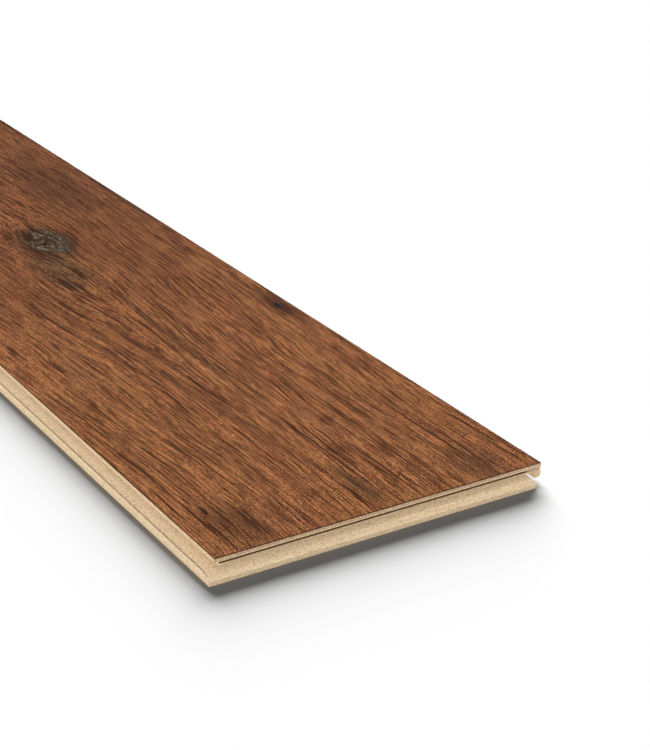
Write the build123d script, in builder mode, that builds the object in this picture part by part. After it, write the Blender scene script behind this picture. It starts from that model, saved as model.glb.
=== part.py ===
from build123d import *
import os

# Laminate floor plank, one board lying flat with its printed face up. All sizes are in millimetres.
# The origin is on the underside, below the middle of the face: X across, Y along, Z up.
# The left long side and the front short side have the groove, the right and the back the tongue.

# Board
width = 195.0  # the face, which is what a laid plank covers
length = 1215.0
thickness = 12.0  # with the printed layer
decor_thickness = 0.4
decor_ease = 0.2  # chamfer round the top of the printed layer

# Play left between two joined planks
play = 0.1  # above and below
seam = 0.15  # sideways

# Groove, alike on the long and the short side, in depths below the face
groove_ceiling = 2.6
mouth_lead = 0.1  # chamfer under the upper lip, which guides the tongue in
groove_depth = 4.9  # back wall, inward from the face's edge
groove_floor = 7.1  # at the back wall
groove_mouth = 8.25  # the floor slopes down to this below the face's edge, and on outside it
ceiling_round = 0.4
floor_round = 0.4

# Locking lip below the long groove
long_lip = 5.25  # how far it stands out past the face
ridge_width = 0.55  # of the crest
ridge_lean = 0.3  # how far the ridge's flank leans over towards the recess
ridge_top = 7.2
ridge_round = 0.22
recess_round = 0.7

# Plain lip below the short groove
short_lip = 4.1
short_lip_round = 0.5

# Tongue and the underside next to it
tongue_reach = 3.6
nose_round = 1.2
root_round = 0.2
bump_room = 0.4  # left below the bump in the recess
bump_round = 1.6
notch_room = 0.95  # how far the notch goes in past the lip that it takes
notch_wall = 8.3  # the notch's wall is upright down to here
heel_room = 0.45  # the heel below it closes up to this beside the lip
heel_top = 9.5
heel_bottom = 11.7
notch_round = 0.3
heel_round = 0.5

ridge_in = long_lip - ridge_width  # inner edge of the crest, outward from the face's edge
recess_out = ridge_in - ridge_lean  # deepest line of the recess
floor_slope = (groove_mouth - groove_floor) / groove_depth


def floor_depth(out):
    """How deep the groove's sloping floor lies at this distance outward from the face's edge."""
    return groove_mouth + floor_slope * out


flank_slope = ridge_lean / (floor_depth(recess_out) - ridge_top)


# Each profile runs from the core's top down to the underside. Its corners are given as how far they
# lie outward from the face's edge, their depth below the face, and their rounding.
groove = [
    (0, decor_thickness, 0),
    (0, groove_ceiling - mouth_lead, 0),
    (-mouth_lead, groove_ceiling, 0),
    (-groove_depth, groove_ceiling, ceiling_round),
    (-groove_depth, groove_floor, floor_round),
]
locking_lip = [
    (recess_out, floor_depth(recess_out), recess_round),
    (ridge_in, ridge_top, ridge_round),
    (long_lip, ridge_top, ridge_round),
    (long_lip, thickness, 0),
]
plain_lip = [
    (short_lip, floor_depth(short_lip), short_lip_round),
    (short_lip, thickness, 0),
]
tongue = [
    (0, decor_thickness, 0),
    (0, groove_ceiling + play, root_round),
    (tongue_reach, groove_ceiling + play, nose_round),
    (tongue_reach, floor_depth(-tongue_reach) - play, nose_round),
]
# Takes the locking lip: a bump for its recess, whose flank is parallel to the ridge's, a notch for the
# ridge and a heel beside the lip's end, with an even chamfer at the bottom
locking_heel = [
    (seam - recess_out - (bump_room - play) * flank_slope, floor_depth(recess_out) - bump_room, bump_round),
    (seam - ridge_in, ridge_top - play, notch_round),
    (-long_lip - notch_room, ridge_top - play, notch_round),
    (-long_lip - notch_room, notch_wall, notch_round),
    (-long_lip - heel_room, heel_top, heel_round),
    (-long_lip - heel_room, heel_bottom, heel_round),
    (-long_lip - heel_room - thickness + heel_bottom, thickness, 0),
]
plain_heel = [
    (-short_lip - seam, floor_depth(short_lip) - play, notch_round),
    (-short_lip - seam, thickness, 0),
]


def edge_profile(corners, edge):
    """The profile's line on one edge of the board: edge is where the face ends, negative on the left or front."""
    side = 1 if edge > 0 else -1
    points = [(edge + side * out, -depth) for out, depth, _ in corners]
    return FilletPolyline(*points, radius=[rounding for _, _, rounding in corners[1:-1]])


def board_section(low_corners, high_corners, size):
    """The whole outline across the board, from one edge's profile to the other's."""
    low_side = edge_profile(low_corners, -size / 2)
    high_side = edge_profile(high_corners, size / 2)
    Line(low_side @ 0, high_side @ 0)
    Line(low_side @ 1, high_side @ 1)


# Both sections are drawn on planes whose zero height is the face
across = Plane(origin=(0, 0, thickness), x_dir=(1, 0, 0), z_dir=(0, -1, 0))
along = Plane(origin=(0, 0, thickness), x_dir=(0, 1, 0), z_dir=(1, 0, 0))

# The core is milled along its long sides, then across its ends. The second pass also cuts the ends of
# the long lip and tongue, which shapes the four corners.
with BuildPart() as hdf_core:
    with BuildSketch(across):
        with BuildLine():
            board_section(groove + locking_lip, tongue + locking_heel, width)
        make_face()
    extrude(amount=length, both=True)
    with BuildSketch(along):
        with BuildLine():
            board_section(groove + plain_lip, tongue + plain_heel, length)
        make_face()
    extrude(amount=width, both=True, mode=Mode.INTERSECT)

# The printed layer, pressed on the core's top, is as large as the face
with BuildPart() as decor_layer:
    with BuildSketch(Plane.XY.offset(thickness - decor_thickness)):
        Rectangle(width, length)
    extrude(amount=decor_thickness)
    chamfer(decor_layer.faces().sort_by(Axis.Z)[-1].edges(), length=decor_ease)

os.makedirs("parts", exist_ok=True)
hdf_core.part.label = "hdf_core"
export_step(hdf_core.part, "parts/hdf_core.step")
decor_layer.part.label = "decor_layer"
export_step(decor_layer.part, "parts/decor_layer.step")
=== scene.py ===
import math

import bpy
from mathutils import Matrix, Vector


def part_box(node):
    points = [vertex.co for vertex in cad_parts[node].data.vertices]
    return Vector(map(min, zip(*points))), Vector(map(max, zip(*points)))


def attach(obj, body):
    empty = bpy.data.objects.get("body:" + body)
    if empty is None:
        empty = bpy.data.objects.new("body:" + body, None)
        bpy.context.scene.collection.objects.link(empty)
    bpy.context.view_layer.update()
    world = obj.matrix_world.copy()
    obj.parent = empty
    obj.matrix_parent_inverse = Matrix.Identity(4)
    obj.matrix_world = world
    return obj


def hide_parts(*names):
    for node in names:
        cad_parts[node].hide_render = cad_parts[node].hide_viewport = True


# Laminate floor plank, dressed for the studio: printed wood face on a milled fibreboard core

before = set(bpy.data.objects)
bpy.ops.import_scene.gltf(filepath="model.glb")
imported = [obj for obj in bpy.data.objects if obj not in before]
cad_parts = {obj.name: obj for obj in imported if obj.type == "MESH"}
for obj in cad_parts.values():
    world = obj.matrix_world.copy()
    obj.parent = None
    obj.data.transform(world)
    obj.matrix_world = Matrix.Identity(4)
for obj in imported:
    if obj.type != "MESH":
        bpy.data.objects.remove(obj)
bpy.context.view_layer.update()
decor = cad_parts["decor_layer"]
decorLow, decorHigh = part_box("decor_layer")
coreLow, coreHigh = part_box("hdf_core")
width = decorHigh.x - decorLow.x
length = decorHigh.y - decorLow.y
thickness = decorHigh.z
mm = 1000  # in a metre
print("frame loaded, face", round(width, 4), "by", round(length, 4))


def paint(red, green, blue):  # screen colour, 0 to 255, as the linear values that a socket takes
    levels = [channel / 255 for channel in (red, green, blue)]
    return tuple(v / 12.92 if v <= 0.04045 else ((v + 0.055) / 1.055) ** 2.4 for v in levels) + (1.0,)


def addNode(tree, kind, **settings):
    made = tree.nodes.new(kind)
    for name, value in settings.items():
        setattr(made, name, value)
    return made


def feed(tree, socket, value):  # links a socket, writes anything else
    if isinstance(value, bpy.types.NodeSocket):
        tree.links.new(value, socket)
    else:
        socket.default_value = value


def addStep(tree, kind, before, **settings):  # a node whose first input is what comes before it
    made = addNode(tree, kind, **settings)
    feed(tree, made.inputs[0], before)
    return made


def calc(tree, operation, *values):
    made = addNode(tree, "ShaderNodeMath", operation=operation)
    for socket, value in zip(made.inputs, values):
        feed(tree, socket, value)
    return made.outputs[0]


def ramp(tree, value, low, high, bottom=0.0, top=1.0):  # smooth step between two levels
    made = addNode(tree, "ShaderNodeMapRange", interpolation_type="SMOOTHSTEP")
    for socket, part in zip(made.inputs, (value, low, high, bottom, top)):
        feed(tree, socket, part)
    return made.outputs[0]


def fade(tree, value, low, high):  # 1 below the low level, 0 above the high one
    return ramp(tree, value, low, high, 1.0, 0.0)


def tint(tree, mask, under, over):
    made = addNode(tree, "ShaderNodeMix", data_type="RGBA")
    feed(tree, made.inputs[0], mask)
    feed(tree, made.inputs[6], under)
    feed(tree, made.inputs[7], over)
    return made.outputs[2]


def vector(tree, x, y, z=0.0):
    made = addNode(tree, "ShaderNodeCombineXYZ")
    for socket, value in zip(made.inputs, (x, y, z)):
        feed(tree, socket, value)
    return made.outputs[0]


def split(tree, given):
    return addStep(tree, "ShaderNodeSeparateXYZ", given).outputs


def noise(tree, given, detail, roughness=0.5):
    made = addNode(tree, "ShaderNodeTexNoise", noise_dimensions="3D")
    feed(tree, made.inputs["Vector"], given)
    made.inputs["Scale"].default_value = 1.0
    made.inputs["Detail"].default_value = detail
    made.inputs["Roughness"].default_value = roughness
    return made.outputs["Fac"]


def stretched(tree, x, y, setup):  # the plan with its marks that much wider and longer
    return vector(tree, calc(tree, "DIVIDE", x, setup["across"]), calc(tree, "DIVIDE", y, setup["along"]))


def newGroup(name, inputs, output):
    tree = bpy.data.node_groups.new(name, "ShaderNodeTree")
    for label, kind, value in inputs:
        socket = tree.interface.new_socket(label, in_out="INPUT", socket_type="NodeSocket" + kind)
        if value is not None:
            socket.default_value = value
    tree.interface.new_socket(output[0], in_out="OUTPUT", socket_type="NodeSocket" + output[1])
    return tree, tree.nodes.new("NodeGroupInput").outputs, tree.nodes.new("NodeGroupOutput").inputs[0]


def place(tree, group, **values):
    made = tree.nodes.new("ShaderNodeGroup")
    made.node_tree = group
    for label, value in values.items():
        feed(tree, made.inputs[label], value)
    return made.outputs[0]


# Shared effects, all on coordinates in millimetres. A seed moves the noise on by these steps.
seedSteps = {"streaks": 7.31, "flecks": 13.7}


def buildStreaks():  # long narrow marks that run along Y, 0 between them and Amount on them
    tree, given, result = newGroup("grainStreaks", [
        ("Vector", "Vector", None), ("Across", "Float", 1.0), ("Along", "Float", 20.0),
        ("Seed", "Float", 0.0), ("Low", "Float", 0.5), ("High", "Float", 0.6),
        ("Amount", "Float", 1.0)], ("Mask", "Float"))
    x, y, _ = split(tree, given["Vector"])
    squeezed = vector(tree, calc(tree, "DIVIDE", x, given["Across"]), calc(tree, "DIVIDE", y, given["Along"]),
                      calc(tree, "MULTIPLY", given["Seed"], seedSteps["streaks"]))
    mask = ramp(tree, noise(tree, squeezed, detail=2.0, roughness=0.55), given["Low"], given["High"])
    feed(tree, result, calc(tree, "MULTIPLY", mask, given["Amount"]))
    return tree


def buildSpot():  # one oval patch, whose edge is as ragged as the noise that comes in as Shake
    tree, given, result = newGroup("raggedSpot", [
        ("Vector", "Vector", None), ("Shake", "Float", 0.5), ("CentreX", "Float", 0.0),
        ("CentreY", "Float", 0.0), ("HalfX", "Float", 5.0), ("HalfY", "Float", 10.0),
        ("Lean", "Float", 0.0), ("Ragged", "Float", 0.5), ("Soft", "Float", 0.3),
        ("Amount", "Float", 1.0)], ("Mask", "Float"))
    x, y, _ = split(tree, given["Vector"])
    beyond = calc(tree, "SUBTRACT", y, given["CentreY"])
    middle = calc(tree, "ADD", given["CentreX"], calc(tree, "MULTIPLY", beyond, given["Lean"]))
    offX = calc(tree, "DIVIDE", calc(tree, "SUBTRACT", x, middle), given["HalfX"])
    offY = calc(tree, "DIVIDE", beyond, given["HalfY"])
    squares = [calc(tree, "MULTIPLY", off, off) for off in (offX, offY)]
    reach = calc(tree, "SQRT", calc(tree, "ADD", *squares))
    jitter = calc(tree, "MULTIPLY", calc(tree, "SUBTRACT", given["Shake"], 0.5), given["Ragged"])
    inner = calc(tree, "SUBTRACT", 1.0, given["Soft"])
    outer = calc(tree, "ADD", 1.0, given["Soft"])
    mask = fade(tree, calc(tree, "ADD", reach, jitter), inner, outer)
    feed(tree, result, calc(tree, "MULTIPLY", mask, given["Amount"]))
    return tree


def buildFlow():  # how far the grain is pushed aside by a knot
    tree, given, result = newGroup("flowRound", [
        ("Vector", "Vector", None), ("CentreX", "Float", 0.0), ("CentreY", "Float", 0.0),
        ("Radius", "Float", 10.0), ("Stretch", "Float", 2.0)], ("Shift", "Float"))
    x, y, _ = split(tree, given["Vector"])
    offX = calc(tree, "SUBTRACT", x, given["CentreX"])
    offY = calc(tree, "DIVIDE", calc(tree, "SUBTRACT", y, given["CentreY"]), given["Stretch"])
    reach = calc(tree, "ADD", calc(tree, "MULTIPLY", offX, offX), calc(tree, "MULTIPLY", offY, offY))
    size = calc(tree, "MULTIPLY", given["Radius"], given["Radius"])
    share = calc(tree, "DIVIDE", size, calc(tree, "ADD", reach, size))
    feed(tree, result, calc(tree, "MULTIPLY", offX, share))
    return tree


def buildFlecks():  # small cloudy flecks of another colour over a base
    tree, given, result = newGroup("colourFlecks", [
        ("Vector", "Vector", None), ("Size", "Float", 1.0), ("Seed", "Float", 0.0),
        ("Base", "Color", None), ("Fleck", "Color", None), ("Low", "Float", 0.5),
        ("High", "Float", 0.7), ("Amount", "Float", 0.5)], ("Color", "Color"))
    x, y, z = [calc(tree, "DIVIDE", part, given["Size"]) for part in split(tree, given["Vector"])]
    shift = calc(tree, "MULTIPLY", given["Seed"], seedSteps["flecks"])
    cloud = noise(tree, vector(tree, calc(tree, "ADD", x, shift), y, z), detail=2.0)
    mask = calc(tree, "MULTIPLY", ramp(tree, cloud, given["Low"], given["High"]), given["Amount"])
    feed(tree, result, tint(tree, mask, given["Base"], given["Fleck"]))
    return tree


grainStreaks = buildStreaks()
raggedSpot = buildSpot()
flowRound = buildFlow()
colourFlecks = buildFlecks()
print("shader groups built")


def newMaterial(name):
    made = bpy.data.materials.new(name)
    made.use_nodes = True
    return made, made.node_tree, made.node_tree.nodes["Principled BSDF"].inputs


def planInMillimetres(tree):  # Object coordinates in mm, from the face's front left corner and the underside
    coords = addNode(tree, "ShaderNodeTexCoord")
    mapping = addNode(tree, "ShaderNodeMapping")
    mapping.inputs["Scale"].default_value = (mm, mm, mm)
    mapping.inputs["Location"].default_value = (width * mm / 2, length * mm / 2, 0)
    feed(tree, mapping.inputs["Vector"], coords.outputs["Object"])
    return mapping.outputs[0]


def streakMask(tree, given, setup, seed):
    return place(tree, grainStreaks, Vector=given, Across=setup["across"], Along=setup["along"], Seed=seed,
                 Low=setup["low"], High=setup["high"], Amount=setup["amount"])


def spotMask(tree, plan, shake, spot):
    return place(tree, raggedSpot, Vector=plan, Shake=shake, CentreX=spot["at"][0], CentreY=spot["at"][1],
                 HalfX=spot["half"][0], HalfY=spot["half"][1], Lean=spot.get("lean", 0.0),
                 Ragged=spot["ragged"], Soft=spot["soft"], Amount=spot["amount"])


def closeMaterial(tree, shader, look, color, roughness, height):
    feed(tree, shader["Base Color"], color)
    feed(tree, shader["Roughness"], roughness)
    shader["Specular IOR Level"].default_value = look["specular"]
    bump = addNode(tree, "ShaderNodeBump")
    bump.inputs["Strength"].default_value = look["relief"]
    bump.inputs["Distance"].default_value = look["reliefHeight"]
    feed(tree, bump.inputs["Height"], height)
    feed(tree, shader["Normal"], bump.outputs[0])


# The printed wood. Places and sizes are in mm from the face's front left corner, colours from 0 to 255.
# A streak has its size across and along, the noise levels between which it fades in, and its strength.
printLook = {
    "mid": (168, 106, 63), "red": (142, 78, 47),
    "roughness": 0.5, "poreRoughness": 0.7, "specular": 0.07, "relief": 0.35, "reliefHeight": 0.00015,
    "seeds": {"bands": 1.0, "streaks": 2.0, "pores": 12.0, "rings": 21.0, "cracks": 31.0},
    "wander": {"across": 60.0, "along": 150.0, "shift": 15.0},
    "arch": {"x": 86, "y": 95, "lean": 0.03, "spread": 0.055, "reach": 260, "half": 22},
    "bands": {"across": 24.0, "along": 420.0, "low": 0.38, "high": 0.62, "amount": 1.0},
    "rings": {"width": 7, "taper": 0.1, "fadeFrom": 14.0, "fadeTo": 55.0, "color": (94, 54, 34),
              "across": 5.0, "along": 300.0, "low": 0.5, "high": 0.62, "amount": 0.4},
    "streaks": [
        {"color": (94, 53, 34), "across": 8.0, "along": 360, "low": 0.46, "high": 0.62, "amount": 0.5},
        {"color": (172, 112, 62), "across": 3.6, "along": 170, "low": 0.48, "high": 0.62, "amount": 0.5},
        {"color": (98, 55, 36), "across": 1.4, "along": 90, "low": 0.5, "high": 0.58, "amount": 0.45},
        {"color": (202, 132, 72), "across": 1.0, "along": 80, "low": 0.5, "high": 0.58, "amount": 0.65},
        {"color": (174, 90, 62), "across": 1.1, "along": 8, "low": 0.56, "high": 0.62, "amount": 0.6},
        {"color": (102, 84, 46), "across": 1.3, "along": 9, "low": 0.57, "high": 0.64, "amount": 0.6},
        {"color": (208, 144, 84), "across": 0.6, "along": 12, "low": 0.53, "high": 0.59, "amount": 0.65},
        {"color": (208, 142, 100), "across": 0.7, "along": 1.3, "low": 0.52, "high": 0.6, "amount": 0.75},
        {"color": (112, 60, 38), "across": 1.1, "along": 1.5, "low": 0.52, "high": 0.6, "amount": 0.45},
    ],
    "pores": [
        {"color": (50, 26, 17), "across": 0.9, "along": 70, "low": 0.585, "high": 0.62, "amount": 0.8},
        {"color": (54, 28, 18), "across": 0.6, "along": 44, "low": 0.55, "high": 0.59, "amount": 0.78},
        {"color": (58, 32, 21), "across": 0.45, "along": 18, "low": 0.555, "high": 0.6, "amount": 0.75},
        {"color": (62, 35, 23), "across": 0.6, "along": 1.5, "low": 0.56, "high": 0.61, "amount": 0.75},
    ],
    # knots that the grain flows round
    "flow": [
        {"x": 107, "y": 446, "radius": 14, "stretch": 1.9},
        {"x": 186.5, "y": 262, "radius": 3.5, "stretch": 2.2},
        {"x": 58, "y": 918, "radius": 7, "stretch": 2.2},
    ],
    # knots, smudges, cracks and the arch's dark and light arms: middle, half sizes, how ragged and
    # soft their edge is, strength and colour. The shake is the noise that makes the edges ragged.
    "shake": {"across": 3.0, "along": 12.0},
    "marks": [
        {"at": (26, 26), "half": (15, 26), "ragged": 1.6, "soft": 0.5, "amount": 0.5, "color": (74, 52, 36)},
        {"at": (18, 45), "half": (1.2, 5), "ragged": 0.6, "soft": 0.3, "amount": 0.9, "color": (40, 28, 22)},
        {"at": (99, 31), "half": (3, 27), "ragged": 1.4, "soft": 0.4, "amount": 0.6, "color": (74, 62, 40)},
        {"at": (105, 60), "half": (0.9, 62),
         "ragged": 0.9, "soft": 0.4, "amount": 0.8, "color": (48, 32, 24)},
        {"at": (109.5, 166), "half": (1.0, 26),
         "ragged": 0.9, "soft": 0.4, "amount": 0.8, "color": (48, 32, 24)},
        {"at": (121, 31), "half": (0.8, 32),
         "ragged": 0.9, "soft": 0.4, "amount": 0.8, "color": (48, 32, 24)},
        {"at": (166, 20), "half": (11, 19), "ragged": 1.6, "soft": 0.5, "amount": 0.5, "color": (76, 58, 44)},
        {"at": (39, 275), "half": (1.5, 7), "ragged": 0.8, "soft": 0.4, "amount": 0.8, "color": (54, 46, 34)},
        {"at": (76, 200), "half": (3.4, 145), "lean": -0.105,
         "ragged": 1.2, "soft": 0.5, "amount": 0.5, "color": (90, 54, 34)},
        {"at": (73, 292), "half": (3.2, 62), "lean": -0.12,
         "ragged": 1.2, "soft": 0.5, "amount": 0.4, "color": (178, 116, 66)},
        {"at": (60, 262), "half": (1.8, 110), "lean": -0.1,
         "ragged": 1.2, "soft": 0.5, "amount": 0.45, "color": (90, 54, 34)},
        {"at": (106, 240), "half": (2.8, 115), "lean": 0.02,
         "ragged": 1.3, "soft": 0.5, "amount": 0.55, "color": (76, 52, 32)},
        {"at": (99, 300), "half": (3.2, 58), "lean": 0.03,
         "ragged": 1.2, "soft": 0.5, "amount": 0.4, "color": (178, 116, 66)},
        {"at": (121, 280), "half": (1.8, 100), "lean": 0.05,
         "ragged": 1.2, "soft": 0.5, "amount": 0.45, "color": (90, 54, 34)},
        {"at": (100, 760), "half": (190, 440),
         "ragged": 0.4, "soft": 0.25, "amount": 0.42, "color": (112, 62, 38)},
        {"at": (94, 392), "half": (15, 34), "ragged": 2.2, "soft": 0.4, "amount": 0.6, "color": (92, 76, 50)},
        {"at": (88, 364), "half": (5, 11), "ragged": 1.2, "soft": 0.4, "amount": 0.6, "color": (66, 56, 40)},
        {"at": (162, 558), "half": (19, 64),
         "ragged": 1.3, "soft": 0.5, "amount": 0.5, "color": (80, 50, 36)},
        {"at": (194, 505), "half": (3.2, 74),
         "ragged": 0.9, "soft": 0.4, "amount": 0.6, "color": (62, 48, 42)},
        {"at": (187, 264), "half": (6.5, 24),
         "ragged": 0.9, "soft": 0.5, "amount": 0.75, "color": (72, 44, 30)},
        {"at": (186.5, 262), "half": (2.6, 5.5),
         "ragged": 0.6, "soft": 0.3, "amount": 0.95, "color": (42, 40, 46)},
        {"at": (108, 446), "half": (20, 35),
         "ragged": 1.2, "soft": 0.35, "amount": 0.6, "color": (76, 52, 34)},
        {"at": (108, 447), "half": (15.5, 28),
         "ragged": 0.9, "soft": 0.15, "amount": 0.85, "color": (56, 46, 33)},
        {"at": (108, 447), "half": (11.5, 22),
         "ragged": 1.6, "soft": 0.3, "amount": 0.8, "color": (82, 72, 54)},
        {"at": (58, 918), "half": (9, 17), "ragged": 0.9, "soft": 0.4, "amount": 0.7, "color": (66, 46, 34)},
        {"at": (58, 918), "half": (4.5, 8),
         "ragged": 0.6, "soft": 0.3, "amount": 0.85, "color": (50, 44, 40)},
        {"at": (132, 1080), "half": (16, 60),
         "ragged": 1.3, "soft": 0.5, "amount": 0.45, "color": (84, 54, 38)},
    ],
    "cracks": {"at": (108, 449), "half": (12, 24), "ragged": 0.8, "soft": 0.3, "amount": 0.65,
               "color": (166, 152, 130)},
    "crackLines": {"across": 1.5, "along": 4.5, "low": 0.53, "high": 0.6, "amount": 1.0},
    "rim": {"color": (56, 34, 23), "fullTo": 0.25, "goneAt": 0.8, "amount": 0.85},
}


def printedWood(look):
    mat, tree, shader = newMaterial("printedWood")
    plan = planInMillimetres(tree)
    x, y, _ = split(tree, plan)
    seeds = look["seeds"]

    # The grain wanders a little, flows round the knots and opens into a V behind the arch's tip
    drift = noise(tree, stretched(tree, x, y, look["wander"]), detail=2.0)
    moved = calc(tree, "MULTIPLY", calc(tree, "SUBTRACT", drift, 0.5), look["wander"]["shift"])
    across = calc(tree, "ADD", x, moved)
    for knot in look["flow"]:
        pushed = place(tree, flowRound, Vector=plan, CentreX=knot["x"], CentreY=knot["y"],
                       Radius=knot["radius"], Stretch=knot["stretch"])
        across = calc(tree, "SUBTRACT", across, pushed)
    arch = look["arch"]
    along = calc(tree, "SUBTRACT", y, arch["y"])
    opened = calc(tree, "MINIMUM", calc(tree, "MAXIMUM", along, 0.0), arch["reach"])
    middle = calc(tree, "ADD", arch["x"], calc(tree, "MULTIPLY", along, arch["lean"]))
    off = calc(tree, "SUBTRACT", across, middle)
    sides = calc(tree, "TANH", calc(tree, "DIVIDE", off, arch["half"]))
    spread = calc(tree, "MULTIPLY", calc(tree, "MULTIPLY", sides, opened), arch["spread"])
    across = calc(tree, "SUBTRACT", across, spread)
    fibre = vector(tree, across, y)

    # Growth rings, as nested arches that fade out to the sides
    rings = look["rings"]
    bow = calc(tree, "SQRT", calc(tree, "ADD", calc(tree, "MULTIPLY", off, off), rings["width"] ** 2))
    ringAt = calc(tree, "SUBTRACT", bow, calc(tree, "MULTIPLY", along, rings["taper"]))
    ringMask = calc(tree, "MULTIPLY", streakMask(tree, vector(tree, ringAt, y), rings, seeds["rings"]),
                    fade(tree, bow, rings["fadeFrom"], rings["fadeTo"]))

    # Colour, from broad bands down to pores
    broad = streakMask(tree, fibre, look["bands"], seeds["bands"])
    color = tint(tree, broad, paint(*look["mid"]), paint(*look["red"]))
    color = tint(tree, ringMask, color, paint(*rings["color"]))
    for number, streak in enumerate(look["streaks"]):
        mask = streakMask(tree, fibre, streak, number + seeds["streaks"])
        color = tint(tree, mask, color, paint(*streak["color"]))
    shake = noise(tree, stretched(tree, across, y, look["shake"]), detail=4.0, roughness=0.6)
    for mark in look["marks"]:
        color = tint(tree, spotMask(tree, plan, shake, mark), color, paint(*mark["color"]))
    cracked = calc(tree, "MULTIPLY", spotMask(tree, plan, shake, look["cracks"]),
                   streakMask(tree, plan, look["crackLines"], seeds["cracks"]))
    color = tint(tree, cracked, color, paint(*look["cracks"]["color"]))
    poreMask = 0.0
    for number, pore in enumerate(look["pores"]):
        mask = streakMask(tree, fibre, pore, number + seeds["pores"])
        color = tint(tree, mask, color, paint(*pore["color"]))
        poreMask = calc(tree, "MAXIMUM", mask, poreMask)

    # Thin dark line round the face
    rim = look["rim"]
    inward = []
    for part, half in ((x, width * mm / 2), (y, length * mm / 2)):
        offMiddle = calc(tree, "ABSOLUTE", calc(tree, "SUBTRACT", part, half))
        inward.append(calc(tree, "SUBTRACT", half, offMiddle))
    rimMask = ramp(tree, calc(tree, "MINIMUM", *inward), rim["fullTo"], rim["goneAt"], rim["amount"], 0.0)
    color = tint(tree, rimMask, color, paint(*rim["color"]))

    roughness = ramp(tree, poreMask, 0.0, 1.0, look["roughness"], look["poreRoughness"])
    closeMaterial(tree, shader, look, color, roughness, calc(tree, "SUBTRACT", 1.0, poreMask))
    return mat


# Fibreboard, pale inside, denser and darker below the print, with paper on the underside. Sizes are in
# mm. What is full to one level and gone at the next goes by depth below the face, the paper by height.
coreLook = {
    "board": (206, 182, 148), "roughness": (0.74, 0.9), "specular": 0.25, "relief": 0.4,
    "reliefHeight": 0.0002, "fuzz": 1.8, "fuzzLevels": (0.3, 0.7),
    # two soft clouds below the dense layer's tint, and two finer flecks above it
    "clouds": [
        {"color": (212, 178, 154), "size": 2.8, "seed": 1.0, "low": 0.45, "high": 0.62, "amount": 0.45},
        {"color": (190, 180, 136), "size": 2.3, "seed": 2.0, "low": 0.48, "high": 0.64, "amount": 0.55},
    ],
    "flecks": [
        {"color": (166, 138, 104), "size": 1.0, "seed": 3.0, "low": 0.48, "high": 0.64, "amount": 0.75},
        {"color": (226, 208, 178), "size": 0.8, "seed": 4.0, "low": 0.5, "high": 0.63, "amount": 0.7},
    ],
    # the dark layer is strongest along the front edge, and weaker further in
    "dense": {"color": (164, 132, 104), "fullTo": 1.2, "goneAt": 2.8, "edgeTo": 1.0, "innerFrom": 3.0,
              "inner": 0.55},
    # painted shade on the walls at the back of the grooves: how far in they are, with the room taken before
    # and behind
    #     # them, how far from the right side the tongue's end starts, and how strong the painted shade on the
    #     long side's wall is
    "grooveShade": {"color": (84, 58, 36), "at": 4.9, "ceiling": 2.61, "fullTo": 6.4, "goneAt": 6.9,
                 "before": (0.6, 0.2), "behind": (0.3, 0.6), "tongueEnd": (7.0, 4.0), "longSide": 0.3},
    "paper": {"color": (178, 144, 104), "fullTo": 0.02, "goneAt": 0.08},
}


def addFlecks(tree, plan, color, layers):
    for layer in layers:
        color = place(tree, colourFlecks, Vector=plan, Size=layer["size"], Seed=layer["seed"], Base=color,
                      Fleck=paint(*layer["color"]), Low=layer["low"], High=layer["high"],
                      Amount=layer["amount"])
    return color


# mask for the painted shade on a groove's back wall
def nearShadedWall(tree, inward, wall, amount):  # only where a groove's back wall can be, that far in
    first, full = [wall["at"] - gap for gap in wall["before"]]
    last, gone = [wall["at"] + gap for gap in wall["behind"]]
    rise = ramp(tree, inward, first, full, 0.0, amount)
    return calc(tree, "MULTIPLY", rise, fade(tree, inward, last, gone))


def milledFibreboard(look):
    mat, tree, shader = newMaterial("milledFibreboard")
    plan = planInMillimetres(tree)
    x, y, z = split(tree, plan)
    depth = calc(tree, "SUBTRACT", thickness * mm, z)
    dense, wall, paper = look["dense"], look["grooveShade"], look["paper"]

    color = addFlecks(tree, plan, paint(*look["board"]), look["clouds"])
    pressed = calc(tree, "MULTIPLY", fade(tree, depth, dense["fullTo"], dense["goneAt"]),
                   ramp(tree, y, dense["edgeTo"], dense["innerFrom"], 1.0, dense["inner"]))
    color = tint(tree, pressed, color, paint(*dense["color"]))
    color = addFlecks(tree, plan, color, look["flecks"])

    # Painted shade on the back wall of the short groove, a little of it in the long one, and none on the
    # tongue's end
    shadeDepthBand = calc(tree, "MULTIPLY", fade(tree, depth, wall["fullTo"], wall["goneAt"]),
                 calc(tree, "GREATER_THAN", depth, wall["ceiling"]))
    last, gone = [width * mm - gap for gap in wall["tongueEnd"]]
    frontWallShade = calc(tree, "MULTIPLY", nearShadedWall(tree, y, wall, 1.0), fade(tree, x, last, gone))
    sideWallShade = nearShadedWall(tree, x, wall, wall["longSide"])
    paintedShadeMask = calc(tree, "MULTIPLY", calc(tree, "MAXIMUM", frontWallShade, sideWallShade), shadeDepthBand)
    color = tint(tree, paintedShadeMask, color, paint(*wall["color"]))
    color = tint(tree, fade(tree, z, paper["fullTo"], paper["goneAt"]), color, paint(*paper["color"]))

    finer = vector(tree, *[calc(tree, "MULTIPLY", part, look["fuzz"]) for part in (x, y, z)])
    fuzz = noise(tree, finer, detail=4.0)
    roughness = ramp(tree, fuzz, *look["fuzzLevels"], *look["roughness"])
    closeMaterial(tree, shader, look, color, roughness, fuzz)
    return mat


decor.data.materials.clear()
decor.data.materials.append(printedWood(printLook))
print("print on the face")

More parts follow.
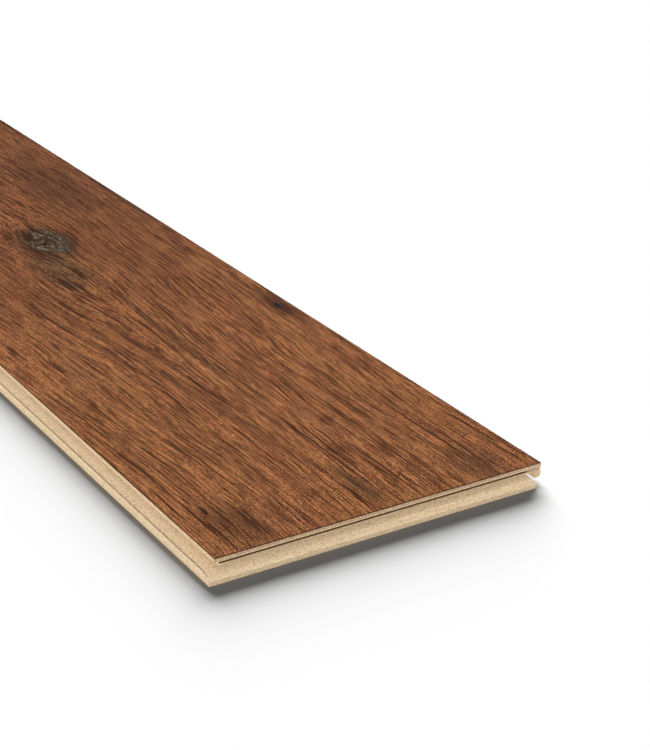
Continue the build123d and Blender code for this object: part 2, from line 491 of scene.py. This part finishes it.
# The core's profiles in mm, as corners from its top down to the underside: how far out past the
# face's edge, how deep below the face, and the rounding. The overlength of the bars is in metres.
coreShape = {
    "groove": [(0, 0.4, 0), (0, 2.5, 0), (-0.1, 2.6, 0), (-4.9, 2.6, 0.4), (-4.9, 7.1, 0.4), (0, 8.25, 2.0)],
    "lockingLip": [(4.4, 8.55, 0.5), (4.7, 7.2, 0.22), (5.25, 7.2, 0.22), (5.25, 12, 0)],
    "plainLip": [(4.1, 9.21, 0.5), (4.1, 12, 0)],
    "tongue": [(0, 0.4, 0), (0, 2.7, 0.2), (3.6, 2.7, 1.2), (3.6, 7.3, 1.2), (0, 8.14, 2.0)],
    "lockingHeel": [(-4.3, 8.42, 0.9), (-4.55, 7.1, 0.3), (-6.2, 7.1, 0.3), (-6.2, 8.3, 0.3),
                    (-5.7, 9.5, 0.5), (-5.7, 11.7, 0.5), (-6.0, 12, 0)],
    "plainHeel": [(-4.25, 9.11, 0.3), (-4.25, 12, 0)],
    "steps": 7, "sharpAngle": 28, "overlength": 0.02, "weld": 1e-6,
}


def buildMilling():  # two outlines become two bars, and the board is what both have in common
    tree = bpy.data.node_groups.new("milledBoard", "GeometryNodeTree")
    for label, kind in (("Outlines", "Geometry"), ("Length", "Float"), ("Width", "Float"), ("Steps", "Int"),
                        ("Weld", "Float"), ("Sharp Angle", "Float"), ("Material", "Material")):
        tree.interface.new_socket(label, in_out="INPUT", socket_type="NodeSocket" + kind)
    tree.interface.new_socket("Board", in_out="OUTPUT", socket_type="NodeSocketGeometry")
    given = tree.nodes.new("NodeGroupInput").outputs
    result = tree.nodes.new("NodeGroupOutput").inputs[0]

    rounding = addNode(tree, "GeometryNodeInputNamedAttribute", data_type="FLOAT")
    rounding.inputs["Name"].default_value = "rounding"
    secondPass = addNode(tree, "GeometryNodeInputNamedAttribute", data_type="BOOLEAN")
    secondPass.inputs["Name"].default_value = "secondPass"
    parted = addStep(tree, "GeometryNodeSeparateGeometry", given["Outlines"], domain="POINT")
    feed(tree, parted.inputs["Selection"], secondPass.outputs["Attribute"])
    board = addNode(tree, "GeometryNodeMeshBoolean", operation="INTERSECT", solver="EXACT")
    passes = ((parted.outputs["Inverted"], given["Length"], (math.pi / 2, 0, 0)),
              (parted.outputs["Selection"], given["Width"], (math.pi / 2, 0, math.pi / 2)))
    for section, size, turn in passes:
        curve = addStep(tree, "GeometryNodeMeshToCurve", section)
        rounded = addStep(tree, "GeometryNodeFilletCurve", curve.outputs[0], mode="POLY")
        feed(tree, rounded.inputs["Count"], given["Steps"])
        feed(tree, rounded.inputs["Radius"], rounding.outputs["Attribute"])
        filled = addStep(tree, "GeometryNodeFillCurve", rounded.outputs[0])
        bar = addStep(tree, "GeometryNodeExtrudeMesh", filled.outputs[0], mode="FACES")
        bar.inputs["Offset"].default_value = (0, 0, 1)
        feed(tree, bar.inputs["Offset Scale"], size)
        bar.inputs["Individual"].default_value = False
        end = addStep(tree, "GeometryNodeFlipFaces", filled.outputs[0])
        joined = addStep(tree, "GeometryNodeJoinGeometry", bar.outputs["Mesh"])
        feed(tree, joined.inputs[0], end.outputs[0])
        closed = addStep(tree, "GeometryNodeMergeByDistance", joined.outputs[0])
        feed(tree, closed.inputs["Distance"], given["Weld"])
        centred = addStep(tree, "GeometryNodeTransform", closed.outputs[0])
        feed(tree, centred.inputs["Translation"], vector(tree, 0.0, 0.0, calc(tree, "MULTIPLY", size, -0.5)))
        stood = addStep(tree, "GeometryNodeTransform", centred.outputs[0])
        stood.inputs["Rotation"].default_value = turn
        feed(tree, board.inputs[1], stood.outputs[0])

    smooth = addStep(tree, "GeometryNodeSetShadeSmooth", board.outputs["Mesh"], domain="FACE")
    edgeAngle = addNode(tree, "GeometryNodeInputMeshEdgeAngle").outputs["Unsigned Angle"]
    creased = addStep(tree, "GeometryNodeSetShadeSmooth", smooth.outputs[0], domain="EDGE")
    feed(tree, creased.inputs["Selection"], calc(tree, "GREATER_THAN", edgeAngle, given["Sharp Angle"]))
    creased.inputs["Shade Smooth"].default_value = False
    plain = addStep(tree, "GeometryNodeRealizeInstances", creased.outputs[0])
    dressed = addStep(tree, "GeometryNodeSetMaterial", plain.outputs[0])
    feed(tree, dressed.inputs["Material"], given["Material"])
    feed(tree, result, dressed.outputs[0])
    return tree


def outline(low, high, size):  # one closed section, drawn flat with its height along Y
    left = [(-size / 2 - out / mm, thickness - depth / mm, radius / mm) for out, depth, radius in low]
    right = [(size / 2 + out / mm, thickness - depth / mm, radius / mm) for out, depth, radius in high]
    return left + right[::-1]


def millCore(shape, mat):
    sections = [
        outline(shape["groove"] + shape["lockingLip"], shape["tongue"] + shape["lockingHeel"], width),
        outline(shape["groove"] + shape["plainLip"], shape["tongue"] + shape["plainHeel"], length),
    ]
    points, edges, rounding, secondPass = [], [], [], []
    for number, section in enumerate(sections):
        first = len(points)
        for index, (x, y, radius) in enumerate(section):
            points.append((x, y, 0))
            edges.append((first + index, first + (index + 1) % len(section)))
            rounding.append(radius)
            secondPass.append(bool(number))
    drawn = bpy.data.meshes.new("coreOutlines")
    drawn.from_pydata(points, edges, [])
    drawn.attributes.new("rounding", "FLOAT", "POINT").data.foreach_set("value", rounding)
    drawn.attributes.new("secondPass", "BOOLEAN", "POINT").data.foreach_set("value", secondPass)
    sketch = bpy.data.objects.new("coreOutlines", drawn)
    bpy.context.scene.collection.objects.link(sketch)
    milling = sketch.modifiers.new("milling", "NODES")
    milling.node_group = buildMilling()
    settings = {"Length": coreHigh.y - coreLow.y + shape["overlength"],
                "Width": coreHigh.x - coreLow.x + shape["overlength"], "Steps": shape["steps"],
                "Weld": shape["weld"], "Sharp Angle": math.radians(shape["sharpAngle"]), "Material": mat}
    for item in milling.node_group.interface.items_tree:
        if item.name in settings:
            milling[item.identifier] = settings[item.name]
    bpy.context.view_layer.update()
    ready = sketch.evaluated_get(bpy.context.evaluated_depsgraph_get())
    mesh = bpy.data.meshes.new_from_object(ready)
    mesh.name = "milledCore"
    bpy.data.objects.remove(sketch)
    made = bpy.data.objects.new("milledCore", mesh)
    bpy.context.scene.collection.objects.link(made)
    return made


core = millCore(coreShape, milledFibreboard(coreLook))
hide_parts("hdf_core")
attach(core, "root")
print("core milled,", len(core.data.polygons), "faces")

# Lamps are linked to what they light: the floor's come from behind, the plank's from the camera's left.
# The room is white up to one height and has dimmed to its level at the next.
studio = {
    "floorColor": (160, 160, 160), "floorSize": 30.0, "floorHeight": -0.0001,
    "floorSun": {"toward": (1.5, 2.4, 1.0), "share": 0.96, "spread": 38},
    "floorSky": {"toward": (0.1, 0.2, 1.0), "share": 0.04, "spread": 120},
    "keySun": {"toward": (-0.75, -0.53, 0.48), "light": 1.0, "spread": 7},
    "topSun": {"toward": (-0.25, -0.1, 1.0), "light": 0.36, "spread": 50},
    "room": {"level": 0.17, "whiteTo": 0.1, "dimFrom": 0.3},
    "camera": {"lens": 88.5724, "sensor": 36, "near": 0.05, "far": 60, "left": 0.353449, "front": 0.681684,
               "above": 0.441171, "tilt": 0.423250, "turn": 0.547022},
}


def studioFloor(setup):
    half = setup["floorSize"] / 2
    mesh = bpy.data.meshes.new("studioFloor")
    corners = [(-half, -half), (half, -half), (half, half), (-half, half)]
    mesh.from_pydata([(x, y, setup["floorHeight"]) for x, y in corners], [], [(0, 1, 2, 3)])
    made = bpy.data.objects.new("studioFloor", mesh)
    bpy.context.scene.collection.objects.link(made)
    mat, _, shader = newMaterial("studioFloorPaint")
    shader["Base Color"].default_value = paint(*setup["floorColor"])
    shader["Roughness"].default_value = 1.0
    shader["Specular IOR Level"].default_value = 0.0
    mesh.materials.append(mat)
    return made


def softSun(name, setup, irradiance, receivers):
    lamp = bpy.data.lights.new(name, "SUN")
    lamp.energy = irradiance
    lamp.angle = math.radians(setup["spread"])
    made = bpy.data.objects.new(name, lamp)
    made.rotation_euler = Vector(setup["toward"]).to_track_quat("Z", "Y").to_euler()
    bpy.context.scene.collection.objects.link(made)
    lit = bpy.data.collections.new(name + "Lights")
    for thing in receivers:
        lit.objects.link(thing)
    made.light_linking.receiver_collection = lit
    return made


floor = studioFloor(studio)
room = studio["room"]
floorNeed = math.pi * (1.0 / paint(*studio["floorColor"])[0] - room["level"])  # just white
for name in ("floorSun", "floorSky"):
    upward = Vector(studio[name]["toward"]).normalized().z
    softSun(name, studio[name], floorNeed * studio[name]["share"] / upward, [floor])
for name in ("keySun", "topSun"):
    reach = Vector(studio[name]["toward"]).length
    lamp = softSun(name, studio[name], math.pi * reach * studio[name]["light"], [core, decor])
    lamp.visible_glossy = name != "keySun"  # the low lamp leaves no glare on the face

world = bpy.data.worlds.new("room")
bpy.context.scene.world = world
world.use_nodes = True
tree = world.node_tree
direction = addNode(tree, "ShaderNodeTexCoord")
height = split(tree, direction.outputs["Generated"])[2]
level = ramp(tree, height, room["whiteTo"], room["dimFrom"], 1.0, room["level"])
feed(tree, tree.nodes["Background"].inputs["Color"], vector(tree, level, level, level))
print("lights and floor up")

view = studio["camera"]
lens = bpy.data.cameras.new("camera")
lens.lens = view["lens"]
lens.sensor_width = view["sensor"]
lens.clip_start, lens.clip_end = view["near"], view["far"]
camera = bpy.data.objects.new("camera", lens)
camera.location = (-width / 2 - view["left"], -length / 2 - view["front"], thickness + view["above"])
camera.rotation_euler = (math.pi / 2 - view["tilt"], 0, -view["turn"])
bpy.context.scene.collection.objects.link(camera)
bpy.context.scene.camera = camera
bpy.context.scene.view_settings.view_transform = "Standard"
print("camera in place")
